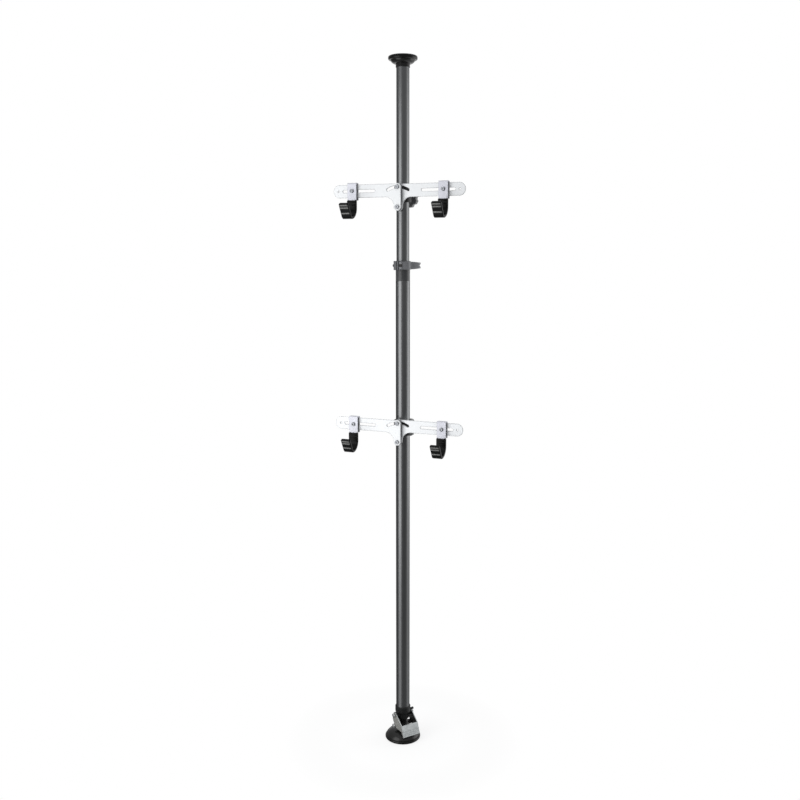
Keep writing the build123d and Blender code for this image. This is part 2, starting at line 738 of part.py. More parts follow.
def make_mount(name, tube_radius, height):
    """One sliding mount: liner, clamp body, knob, two arms and two hooks."""
    half_height = clamp_height / 2
    half_room = half_height - clamp_lip
    sleeve_middle = height + clamp_rise
    liner_radius = tube_radius + liner_thickness
    bore_radius = liner_radius + running_clearance
    body_face = tube_radius + clamp_face_offset

    with BuildPart() as liner:
        with BuildSketch(Plane.XY.offset(sleeve_middle)):
            Circle(liner_radius)
            Circle(tube_radius + running_clearance, mode=Mode.SUBTRACT)
            with Locations((tube_radius, 0)):
                Rectangle(tube_radius, liner_slit, mode=Mode.SUBTRACT)
        extrude(amount=half_room - seat_clearance, both=True)
    save(liner, f"{name}_grip_liner")

    boss_end = tube_radius + rear_boss_offset
    pad_front = liner_radius + side_clearance
    pad_back = pad_front + press_pad_length
    pad_room = pad_back + press_pad_travel + side_clearance
    with BuildPart() as clamp_body:
        with BuildSketch(Plane.XY.offset(sleeve_middle)):
            Circle(bore_radius + clamp_wall)
        extrude(amount=half_height, both=True)
        chamfer(clamp_body.edges().filter_by(GeomType.CIRCLE), length=clamp_edge)
        with BuildSketch(front_plane(body_face, height)):
            SlotOverall(bolt_spacing + 2 * hub_radius, 2 * hub_radius, rotation=90)
        extrude(amount=-body_face)
        with BuildSketch(front_plane(-boss_end, height)):
            Circle(rear_boss_radius)
        extrude(amount=boss_end)
        with BuildSketch(Plane.XY.offset(sleeve_middle)):
            Circle(tube_radius + clamp_lip_gap)
        extrude(amount=half_height, both=True, mode=Mode.SUBTRACT)
        with BuildSketch(Plane.XY.offset(sleeve_middle)):
            Circle(bore_radius)
        extrude(amount=half_room, both=True, mode=Mode.SUBTRACT)
        strip_bottom = sleeve_middle - half_height - bolt_spacing
        with BuildSketch(Plane.XY.offset(sleeve_middle + half_height), Plane.XY.offset(strip_bottom)):
            Circle(tube_radius + strip_gap)
        extrude(amount=bolt_spacing, mode=Mode.SUBTRACT)
        with BuildSketch(front_plane(-pad_room, height)):
            Circle(press_pad_radius + side_clearance)
        extrude(amount=pad_room, mode=Mode.SUBTRACT)
        with BuildSketch(front_plane(-boss_end, height)):
            Circle(stud_radius + running_clearance)
        extrude(amount=boss_end, mode=Mode.SUBTRACT)
        with BuildSketch(front_plane(body_face, height)):
            with GridLocations(0, bolt_spacing, 1, 2):
                Circle(arm_bolt_radius + seat_clearance)
        extrude(amount=-body_face, mode=Mode.SUBTRACT)
    save(clamp_body, f"{name}_clamp_body")

    with BuildPart() as press_pad:
        with BuildSketch(front_plane(-pad_back, height)):
            Circle(press_pad_radius)
        extrude(amount=pad_back)
        with BuildSketch(Plane.XY.offset(height)):
            Circle(pad_front)
        extrude(amount=2 * press_pad_radius, both=True, mode=Mode.SUBTRACT)
    save(press_pad, f"{name}_press_pad")

    knob_front = boss_end + knob_standoff
    grip_front = knob_front + knob_hub_length
    knob_back = grip_front + knob_grip_length
    stud_end = knob_back - knob_grip_length / 3
    with BuildPart() as knob_stud:
        with BuildSketch(front_plane(-pad_back - seat_clearance, height)):
            Circle(stud_radius)
        extrude(amount=-(stud_end - pad_back - seat_clearance))
    save(knob_stud, f"{name}_knob_stud")

    with BuildPart() as knob:
        with BuildSketch(front_plane(-grip_front, height)) as grip:
            Circle(knob_radius)
            with PolarLocations(knob_radius + knob_scallop_radius - knob_scallop_depth, knob_scallops):
                Circle(knob_scallop_radius, mode=Mode.SUBTRACT)
            fillet(grip.vertices(), radius=knob_edge)
        extrude(amount=-knob_grip_length)
        chamfer(knob.faces().sort_by(Axis.Y)[-1].edges(), length=knob_edge)
        with BuildSketch(front_plane(-grip_front, height)):
            Circle(knob_hub_radius)
        extrude(amount=knob_hub_length)
        with BuildSketch(front_plane(-knob_front, height)):
            Circle(stud_radius + seat_clearance)
        extrude(amount=-(stud_end + seat_clearance - knob_front), mode=Mode.SUBTRACT)
    save(knob, f"{name}_knob")

    right_back = body_face + seat_clearance
    right_front = right_back + arm_plate
    spacer_back = right_front + seat_clearance
    spacer_front = spacer_back + hub_spacing
    left_back = spacer_front + seat_clearance
    left_front = left_back + arm_plate

    spacer_radius = hub_radius - spacer_inset
    with BuildPart() as hub_spacer:
        with BuildSketch(front_plane(spacer_back, height)):
            SlotOverall(bolt_spacing + 2 * spacer_radius, 2 * spacer_radius, rotation=90)
            with GridLocations(0, bolt_spacing, 1, 2):
                Circle(arm_bolt_radius + seat_clearance, mode=Mode.SUBTRACT)
        extrude(amount=hub_spacing)
    save(hub_spacer, f"{name}_hub_spacer")

    bolt_seat = left_front + seat_clearance
    bolt_tip = bore_radius + side_clearance + seat_clearance
    with BuildPart() as arm_bolts:
        with BuildSketch(front_plane(bolt_seat, height)):
            with GridLocations(0, bolt_spacing, 1, 2):
                Circle(arm_bolt_head_radius)
        extrude(amount=arm_bolt_head_height)
        fillet(arm_bolts.edges().group_by(Axis.Y)[0], radius=arm_bolt_head_height / 3)
        with BuildSketch(front_plane(bolt_seat + arm_bolt_head_height, height)):
            with GridLocations(0, bolt_spacing, 1, 2):
                RegularPolygon(bolt_socket_radius, 6)
        extrude(amount=-bolt_socket_depth, mode=Mode.SUBTRACT)
        with BuildSketch(front_plane(bolt_seat, height)):
            with GridLocations(0, bolt_spacing, 1, 2):
                Circle(arm_bolt_radius)
        extrude(amount=-(bolt_seat - bolt_tip))
    save(arm_bolts, f"{name}_arm_bolts")

    for word, side, back in (("left", -1, left_back), ("right", 1, right_back)):
        with BuildPart() as arm:
            with BuildSketch(front_plane(back, height)):
                add(arm_outline(side).sketch)
            extrude(amount=arm_plate)
            rims = arm.faces().filter_by(Axis.Y).wires()
            outer_rims = rims.sort_by(SortBy.LENGTH)[-2:]
            chamfer(outer_rims.edges(), length=arm_edge)
        save(arm, f"{name}_{word}_arm")
        make_hook(f"{name}_{word}_hook", side, back + arm_plate, height)


os.makedirs("parts", exist_ok=True)
make_foot()
make_pole()
make_mount("upper", upper_tube_radius, upper_mount_height)
make_mount("lower", lower_tube_radius, lower_mount_height)
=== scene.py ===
import json
import logging
import math
from collections.abc import Callable
from dataclasses import dataclass
from enum import Enum

import bpy
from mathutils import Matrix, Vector


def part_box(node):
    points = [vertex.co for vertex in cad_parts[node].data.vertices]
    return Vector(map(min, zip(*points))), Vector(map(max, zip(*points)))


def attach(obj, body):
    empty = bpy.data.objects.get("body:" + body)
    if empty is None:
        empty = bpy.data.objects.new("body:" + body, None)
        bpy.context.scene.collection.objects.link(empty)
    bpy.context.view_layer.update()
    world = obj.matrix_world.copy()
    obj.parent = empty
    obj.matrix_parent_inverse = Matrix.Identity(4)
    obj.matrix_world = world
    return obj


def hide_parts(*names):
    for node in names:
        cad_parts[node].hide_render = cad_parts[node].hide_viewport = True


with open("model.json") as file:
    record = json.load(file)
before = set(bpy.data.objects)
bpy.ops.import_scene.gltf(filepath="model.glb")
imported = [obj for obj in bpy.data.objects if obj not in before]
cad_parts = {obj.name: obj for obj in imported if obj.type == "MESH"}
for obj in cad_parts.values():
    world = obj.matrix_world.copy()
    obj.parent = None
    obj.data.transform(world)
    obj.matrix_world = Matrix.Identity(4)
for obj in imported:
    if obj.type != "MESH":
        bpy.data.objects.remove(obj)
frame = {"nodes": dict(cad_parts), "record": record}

log = logging.getLogger("bike_stand")

# Lengths are in metres, written in millimetres where that reads better.
MM = 0.001
# Places closer than these count as one level, and as one point.
TINY = 0.02 * MM
MERGE = 0.01 * MM
# A face looks along an axis when its normal's share of it is above this.
FLAT = 0.99

# The sockets of a colour mix: its share, its two colours and its result.
SHARE, FIRST, SECOND, MIXED = 0, 6, 7, 2
WHITE = (1.0, 1.0, 1.0, 1.0)

# How finely edges are sampled, and the turn of the normal at which an edge fully takes its edge colour: wear on some
# finishes, a painted highlight on some and painted shade on others.
EDGE_SAMPLES = 6
EDGE_TURN = 0.88
# The noise behind slow patches and behind fine grain, and the span of the grain that sets the gloss.
PATCH_NOISE = {"Detail": 3.0, "Roughness": 0.55}
GRAIN_NOISE = {"Detail": 4.0, "Roughness": 0.6}
GRAIN_SPAN = (0.3, 0.7)


class Mount(Enum):
    """The two sliding mounts on the pole."""

    UPPER = "upper"
    LOWER = "lower"


class Side(Enum):
    """The two arms of a mount."""

    LEFT = "left"
    RIGHT = "right"


class Sheet(Enum):
    """The faces of the pedal lever's bent sheet, in the order of their finishes."""

    TREAD = 0
    OUTSIDE = 1
    INSIDE = 2


class Cut(Enum):
    """The ways in which one solid changes another."""

    AWAY = "DIFFERENCE"
    TOGETHER = "UNION"


def linear(hex_colour: str) -> tuple[float, float, float, float]:
    """Turns an sRGB hex colour into a linear one.

    Args:
        hex_colour: six hex digits, with or without a leading hash.

    Returns:
        Linear red, green, blue and an alpha of one.
    """
    digits = hex_colour.lstrip("#")
    shares = [int(digits[i:i + 2], 16) / 255 for i in (0, 2, 4)]
    channels = [s / 12.92 if s <= 0.04045 else ((s + 0.055) / 1.055) ** 2.4 for s in shares]
    return channels[0], channels[1], channels[2], 1.0


def add_node(tree: bpy.types.NodeTree, kind: str, settings: dict | None = None, values: dict | None = None,
             links: dict | None = None) -> bpy.types.Node:
    """Adds one node with its settings, input values and incoming links.

    Args:
        tree: the node tree that gets the node.
        kind: the node's type name.
        settings: attributes of the node itself.
        values: default values, by input name or index.
        links: output sockets to link in, by input name or index.

    Returns:
        The new node.
    """
    node = tree.nodes.new(kind)
    for key, value in (settings or {}).items():
        setattr(node, key, value)
    for key, value in (values or {}).items():
        node.inputs[key].default_value = value
    for key, socket in (links or {}).items():
        tree.links.new(socket, node.inputs[key])
    return node


@dataclass(frozen=True)
class Finish:
    """A surface finish, named for its material and the way it was made, and for any light or shade painted into it.
    """

    name: str
    colour: str
    shade: str
    edge_colour: str
    roughness: float
    metallic: float = 0.0
    specular: float = 0.5
    specular_tint: str = "#ffffff"
    edge_share: float = 0.5
    edge_mm: float = 0.4
    patch_mm: float = 60.0
    grain_mm: tuple[float, float, float] = (1.0, 1.0, 1.0)
    grain_height_mm: float = 0.03
    roughness_swing: float = 0.08
    coat: float = 0.0
    coat_roughness: float = 0.1

    def build(self) -> bpy.types.Material:
        """Makes the material, or returns the one already made.

        Returns:
            The material of this finish.
        """
        made = bpy.data.materials.get(self.name)
        if made is not None:
            return made
        material = bpy.data.materials.new(self.name)
        material.use_nodes = True
        tree = material.node_tree
        tree.nodes.clear()
        output = add_node(tree, "ShaderNodeOutputMaterial")
        shader = add_node(tree, "ShaderNodeBsdfPrincipled", values={
            "Metallic": self.metallic, "Specular IOR Level": self.specular,
            "Specular Tint": linear(self.specular_tint), "Coat Weight": self.coat,
            "Coat Roughness": self.coat_roughness})
        tree.links.new(shader.outputs["BSDF"], output.inputs["Surface"])
        place = add_node(tree, "ShaderNodeTexCoord").outputs["Object"]
        edge = add_node(tree, "ShaderNodeBevel", {"samples": EDGE_SAMPLES}, {"Radius": self.edge_mm * MM})
        self.colour_nodes(tree, shader, place, edge)
        self.grain_nodes(tree, shader, place, edge)
        return material

    def colour_nodes(self, tree: bpy.types.NodeTree, shader: bpy.types.Node, place: bpy.types.NodeSocket,
                     edge: bpy.types.Node) -> None:
        """Adds slow patches between two shades, and another colour along the edges: wear on some finishes, a painted
        highlight on some and painted shade on others.

        Args:
            tree: the material's node tree.
            shader: the surface shader.
            place: the coordinates.
            edge: the node that rounds the edges.
        """
        patches = add_node(tree, "ShaderNodeTexNoise", values={"Scale": 1 / (self.patch_mm * MM), **PATCH_NOISE},
                           links={"Vector": place})
        tint = add_node(tree, "ShaderNodeMix", {"data_type": "RGBA"},
                        {FIRST: linear(self.colour), SECOND: linear(self.shade)}, {SHARE: patches.outputs["Fac"]})
        flat = add_node(tree, "ShaderNodeNewGeometry")
        turn = add_node(tree, "ShaderNodeVectorMath", {"operation": "DOT_PRODUCT"},
                        links={0: edge.outputs["Normal"], 1: flat.outputs["Normal"]})
        rim = add_node(tree, "ShaderNodeMapRange", values={
            "From Min": 1.0, "From Max": EDGE_TURN, "To Min": 0.0, "To Max": self.edge_share},
            links={"Value": turn.outputs["Value"]})
        # The edge colour is wear on some finishes, a painted highlight on some and painted shade on others.
        edge_wear_and_light = add_node(tree, "ShaderNodeMix", {"data_type": "RGBA"}, {SECOND: linear(self.edge_colour)},
                        {SHARE: rim.outputs["Result"], FIRST: tint.outputs[MIXED]})
        tree.links.new(edge_wear_and_light.outputs[MIXED], shader.inputs["Base Color"])

    def grain_nodes(self, tree: bpy.types.NodeTree, shader: bpy.types.Node, place: bpy.types.NodeSocket,
                    edge: bpy.types.Node) -> None:
        """Adds the fine grain that breaks up the gloss and the surface.

        Args:
            tree: the material's node tree.
            shader: the surface shader.
            place: the coordinates.
            edge: the node that rounds the edges.
        """
        stretch = [1 / (size * MM) for size in self.grain_mm]
        mapping = add_node(tree, "ShaderNodeMapping", {"vector_type": "POINT"}, {"Scale": stretch},
                           {"Vector": place})
        grain = add_node(tree, "ShaderNodeTexNoise", values={"Scale": 1.0, **GRAIN_NOISE},
                         links={"Vector": mapping.outputs["Vector"]})
        smooth, coarse = GRAIN_SPAN
        gloss = add_node(tree, "ShaderNodeMapRange", values={
            "From Min": smooth, "From Max": coarse, "To Min": self.roughness - self.roughness_swing / 2,
            "To Max": self.roughness + self.roughness_swing / 2}, links={"Value": grain.outputs["Fac"]})
        tree.links.new(gloss.outputs["Result"], shader.inputs["Roughness"])
        bump = add_node(tree, "ShaderNodeBump", values={"Strength": 1.0, "Distance": self.grain_height_mm * MM},
                        links={"Height": grain.outputs["Fac"], "Normal": edge.outputs["Normal"]})
        tree.links.new(bump.outputs["Normal"], shader.inputs["Normal"])


# Draw lines, mould grain and brush marks finer than about a millimetre are drawn coarser, so that they still show.
# Drawn aluminium tube, anodised graphite: a dark satin metal whose long faint draw lines stretch its highlights.
ANODISED_TUBE = Finish("anodised_graphite_drawn_aluminium", "#707172", "#6a6b6c", "#828384", 0.34, metallic=1.0,
                       specular_tint="#a0a0a0", patch_mm=180, grain_mm=(1.5, 1.5, 160), grain_height_mm=0.003,
                       roughness_swing=0.06, edge_mm=0.3)
# Laser-cut steel, powder coated pale silver: an even satin skin, thinner along the cut edges and painted grey there
# as the shade of edges turned away from the lamps.
POWDER_COAT = Finish("powder_coated_silver_steel", "#eceef0", "#e6e8ea", "#73767a", 0.42, edge_share=0.9,
                     edge_mm=2.6, patch_mm=90, grain_mm=(2.2, 2.2, 2.2), grain_height_mm=0.01, coat=0.2,
                     coat_roughness=0.3)
# Bent steel strip, nickel plated and brushed across: a cool grey with short streaks in its highlights.
NICKEL_STRIP = Finish("brushed_nickel_steel_strip", "#cacbd3", "#bebfc7", "#8f9096", 0.45, metallic=0.3,
                      edge_share=0.7, edge_mm=1.2, patch_mm=30, grain_mm=(14, 0.9, 0.9), grain_height_mm=0.006,
                      roughness_swing=0.12)
# Pressed steel sheet, zinc plated: a light grey tread with streaks from shoes, and painted shade in dark lines along
# ribs and bends.
ZINC_SHEET = Finish("pressed_zinc_plated_sheet", "#d2d6d6", "#a2a6a6", "#5c6060", 0.36, metallic=0.35,
                    edge_share=0.8, edge_mm=1.6, patch_mm=14, grain_mm=(9, 9, 1.6), grain_height_mm=0.012,
                    roughness_swing=0.16)
# The same sheet on the plates beside the tread: a duller, warmer grey, scuffed in spots.
SCUFFED_SHEET = Finish("scuffed_zinc_plated_sheet", "#a2a29e", "#6c6c69", "#b4b4b0", 0.42, metallic=0.35,
                       edge_mm=0.8, patch_mm=5, grain_mm=(3, 3, 3), grain_height_mm=0.012, roughness_swing=0.16)
# The same sheet on the faces inside the lever: painted shade, near black for the shade between the plates and the
# collar, with a gleam.
INNER_SHADE_SHEET = Finish("painted_shade_inner_zinc_sheet", "#2c2c2b", "#1f1f1e", "#40403e", 0.34, specular=0.35,
                       edge_mm=0.8, patch_mm=12, grain_mm=(3, 3, 3), grain_height_mm=0.012, roughness_swing=0.12)
# Turned and polished steel pin: small bright mirror heads, with painted shade in a dark line round the rim.
POLISHED_PIN = Finish("polished_chromed_steel", "#c4c5c5", "#b6b7b7", "#4a4b4b", 0.14, metallic=1.0, edge_share=0.9,
                      edge_mm=1.0, patch_mm=20, grain_mm=(0.8, 0.8, 0.8), grain_height_mm=0.003,
                      roughness_swing=0.05)
# Cold-formed bolt, zinc plated: mid grey with a soft gleam.
ZINC_BOLT = Finish("zinc_plated_bolt_steel", "#8d8f93", "#7b7d81", "#b4b6ba", 0.34, metallic=0.9, edge_mm=0.5,
                   patch_mm=5, grain_mm=(0.7, 0.7, 0.7), grain_height_mm=0.006, roughness_swing=0.1)
# Compression-moulded rubber: deep soft black that drinks the light, with a painted highlight in grey along its
# edges.
HOOK_RUBBER = Finish("moulded_black_rubber", "#0a0a0a", "#070707", "#6a6a68", 0.32, specular=0.1, edge_mm=0.7,
                     patch_mm=25, grain_mm=(1.6, 1.6, 1.6), grain_height_mm=0.01, roughness_swing=0.08)
# The same rubber on the lip's ribs with a painted highlight: pale bars on the black where the ribs catch the lamp.
RIB_HIGHLIGHT_RUBBER = Finish("painted_highlight_rib_rubber", "#747472", "#4a4a49", "#8a8a88", 0.26, specular=0.4, edge_mm=0.4,
                       patch_mm=14, grain_mm=(1.6, 1.6, 1.6), grain_height_mm=0.006, roughness_swing=0.08)
# Moulded rubber of the pads, smoother than the hooks from a polished mould.
PAD_RUBBER = Finish("polished_mould_black_rubber", "#0f0f0e", "#0c0c0b", "#2c2c2b", 0.17, specular=0.2,
                    edge_mm=0.8, patch_mm=40, grain_mm=(3.0, 3.0, 3.0), grain_height_mm=0.015, roughness_swing=0.08)
# Injection-moulded ABS from a polished mould: deep black with crisp reflections.
GLOSS_ABS = Finish("polished_moulded_black_abs", "#171716", "#121211", "#30302f", 0.24, specular=0.28, patch_mm=50,
                   grain_mm=(4.0, 4.0, 4.0), grain_height_mm=0.008, roughness_swing=0.06)
# Glass-filled nylon from a spark-eroded mould: near black, fine even grain and a wide soft gleam.
GRAINED_NYLON = Finish("spark_grained_black_nylon", "#151616", "#111212", "#333434", 0.48, specular=0.25,
                       patch_mm=30, grain_mm=(0.9, 0.9, 0.9), grain_height_mm=0.03, roughness_swing=0.1)
# The same nylon lightened to charcoal as a painted highlight: a dark grey, paler on its edges, that stands in for
# the knobs' grey highlights, on which moulded flutes can be told apart.
CHARCOAL_NYLON = Finish("spark_grained_charcoal_nylon", "#5e5f60", "#525354", "#848585", 0.30, patch_mm=30,
                        grain_mm=(0.9, 0.9, 0.9), grain_height_mm=0.012, roughness_swing=0.1)
# Moulded nylon under a graphite flake paint: a grey half metal that takes soft upright highlights.
FLAKE_PAINT = Finish("graphite_flake_painted_nylon", "#545558", "#4a4b4e", "#6c6d70", 0.34, metallic=0.25,
                     patch_mm=30, grain_mm=(0.9, 0.9, 0.9), grain_height_mm=0.008, roughness_swing=0.1)
# The same paint made paler on the lever as a painted highlight: a lighter grey for the brighter light on the lever
# that is pulled open.
LEVER_HIGHLIGHT_PAINT = Finish("painted_highlight_flake_paint", "#7c7d80", "#6e6f72", "#a0a1a4", 0.30, metallic=0.25,
                      patch_mm=20, grain_mm=(0.9, 0.9, 0.9), grain_height_mm=0.008, roughness_swing=0.1)
# Moulded acetal, charcoal: a smooth dull band that stands back between the two tubes.
SMOOTH_ACETAL = Finish("moulded_charcoal_acetal", "#3a3b3c", "#323334", "#545556", 0.38, specular=0.45, patch_mm=30,
                       grain_mm=(2.0, 2.0, 2.0), grain_height_mm=0.006, roughness_swing=0.06)
# Turned steel under a baked black coat: dark with a dry half gloss, worn to grey on its edges.
BLACK_STEEL = Finish("baked_black_turned_steel", "#1e1e1e", "#181818", "#4a4a4a", 0.38, specular=0.4, patch_mm=30,
                     grain_mm=(1.0, 1.0, 0.5), grain_height_mm=0.012)


def deselect() -> None:
    """Leaves every object unselected."""
    bpy.ops.object.select_all(action="DESELECT")


def active_mesh() -> bpy.types.Object:
    """Returns the object that the operators act on."""
    return bpy.context.view_layer.objects.active


def edit(piece: bpy.types.Object) -> None:
    """Opens one piece alone in edit mode with all of it selected.

    Args:
        piece: the piece to edit.
    """
    deselect()
    piece.select_set(True)
    bpy.context.view_layer.objects.active = piece
    bpy.ops.object.mode_set(mode="EDIT")
    bpy.ops.mesh.select_all(action="SELECT")


def leave_edit() -> bpy.types.Object:
    """Closes edit mode and returns the piece that was edited."""
    bpy.ops.object.mode_set(mode="OBJECT")
    return active_mesh()


def pick_faces(test: Callable[[bpy.types.MeshPolygon], bool]) -> int:
    """Selects the faces of the mesh being edited that pass a test, and no others.

    Args:
        test: takes a polygon and says whether it is selected.

    Returns:
        The number of faces selected.
    """
    piece = active_mesh()
    bpy.ops.mesh.select_mode(type="FACE")
    bpy.ops.mesh.select_all(action="DESELECT")
    bpy.ops.object.mode_set(mode="OBJECT")
    count = 0
    for polygon in piece.data.polygons:
        polygon.select = bool(test(polygon))
        count += polygon.select
    bpy.ops.object.mode_set(mode="EDIT")
    return count


def pick_edges(test: Callable[[Vector, Vector], bool]) -> int:
    """Selects the edges of the mesh being edited whose two ends pass a test, and no others.

    Args:
        test: takes the places of an edge's two ends and says whether it is selected.

    Returns:
        The number of edges selected.
    """
    piece = active_mesh()
    bpy.ops.mesh.select_mode(type="EDGE")
    bpy.ops.mesh.select_all(action="DESELECT")
    bpy.ops.object.mode_set(mode="OBJECT")
    count = 0
    for edge in piece.data.edges:
        ends = [piece.data.vertices[i].co for i in edge.vertices]
        edge.select = bool(test(*ends))
        count += edge.select
    bpy.ops.object.mode_set(mode="EDIT")
    return count


def apply_modifier(piece: bpy.types.Object, kind: str, **settings: object) -> None:
    """Adds a modifier to a piece and applies it.

    Args:
        piece: the piece to change.
        kind: the modifier's type name.
        settings: the modifier's settings.
    """
    modifier = piece.modifiers.new(kind.lower(), kind)
    for key, value in settings.items():
        setattr(modifier, key, value)
    bpy.context.view_layer.objects.active = piece
    bpy.ops.object.modifier_apply(modifier=modifier.name)


def cut(piece: bpy.types.Object, tool: bpy.types.Object, way: Cut) -> None:
    """Cuts a tool out of a piece or joins it on, and takes the tool away.

    Args:
        piece: the piece to change.
        tool: the solid that changes it.
        way: whether the tool is cut away or joined.
    """
    apply_modifier(piece, "BOOLEAN", operation=way.value, object=tool, solver="EXACT")
    bpy.data.objects.remove(tool, do_unlink=True)


def box(low: Vector, high: Vector) -> bpy.types.Object:
    """Adds a box between two corners, as a tool to cut with.

    Args:
        low: its lowest corner.
        high: its highest corner.

    Returns:
        The box.
    """
    deselect()
    bpy.ops.mesh.primitive_cube_add(size=1.0, location=(low + high) / 2, scale=high - low)
    bpy.ops.object.transform_apply(location=True, rotation=True, scale=True)
    return active_mesh()


def disc(centre: Vector, radius: float, length: float, sides: int, level: bool = False) -> bpy.types.Object:
    """Adds a cylinder that stands upright, or lies level along Y.

    Args:
        centre: its middle.
        radius: its radius.
        length: its length along its axis.
        sides: the number of its sides.
        level: whether its axis lies along Y.

    Returns:
        The cylinder.
    """
    deselect()
    bpy.ops.mesh.primitive_cylinder_add(vertices=sides, radius=radius, depth=length, location=centre,
                                        rotation=(math.pi / 2 if level else 0, 0, 0))
    bpy.ops.object.transform_apply(location=True, rotation=True, scale=True)
    return active_mesh()


def cut_rings(count: int, land: float, groove: float, depth: float) -> None:
    """Cuts ring grooves into the round face that is selected, from its rim inwards.

    Args:
        count: the number of grooves.
        land: the width left between grooves.
        groove: the width of a groove's floor.
        depth: the depth of a groove.
    """
    for _ in range(count):
        bpy.ops.mesh.inset(thickness=land, depth=0)
        bpy.ops.mesh.inset(thickness=depth, depth=-depth)
        bpy.ops.mesh.inset(thickness=groove, depth=0)
        bpy.ops.mesh.inset(thickness=depth, depth=depth)


def close_up(piece: bpy.types.Object, smooth_degrees: float = 35.0) -> None:
    """Merges a modelled piece's doubles, turns its faces out and smooths it.

    Args:
        piece: the piece, in object mode.
        smooth_degrees: edges sharper than this stay sharp.
    """
    edit(piece)
    bpy.ops.mesh.remove_doubles(threshold=MERGE)
    bpy.ops.mesh.normals_make_consistent(inside=False)
    leave_edit()
    bpy.ops.object.shade_smooth_by_angle(angle=math.radians(smooth_degrees))


def copied(piece: bpy.types.Object, offset: Vector) -> bpy.types.Object:
    """Copies a finished piece, with a mesh of its own, to another place.

    Args:
        piece: the piece to copy.
        offset: how far the copy moves.

    Returns:
        The copy, with its place in its mesh.
    """
    deselect()
    piece.select_set(True)
    bpy.context.view_layer.objects.active = piece
    bpy.ops.object.duplicate(linked=False)
    bpy.ops.transform.translate(value=offset)
    bpy.ops.object.transform_apply(location=True, rotation=False, scale=False)
    return active_mesh()


def dress(piece: bpy.types.Object, *finishes: Finish) -> None:
    """Gives a piece its finishes: the first all over, the others where its faces were marked for them.

    Args:
        piece: the object to dress.
        finishes: its finishes.
    """
    marks = [min(face.material_index, len(finishes) - 1) for face in piece.data.polygons]
    piece.data.materials.clear()
    for finish in finishes:
        piece.data.materials.append(finish.build())
    piece.data.polygons.foreach_set("material_index", marks)


def settle(piece: bpy.types.Object, node: str, *finishes: Finish) -> None:
    """Names and dresses a finished piece that stands for a CAD node, and rides it on that node's body.

    Args:
        piece: the finished piece.
        node: the CAD node that it stands for.
        finishes: its finishes.
    """
    record = frame["record"]
    body = next(name for name, nodes in record["behaviour"]["bodies"].items() if node in nodes)
    piece.name = f"{node}_moulded"
    piece.data.name = piece.name
    dress(piece, *finishes)
    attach(piece, body)
    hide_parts(node)
    log.info("%s rides on %s", piece.name, body)


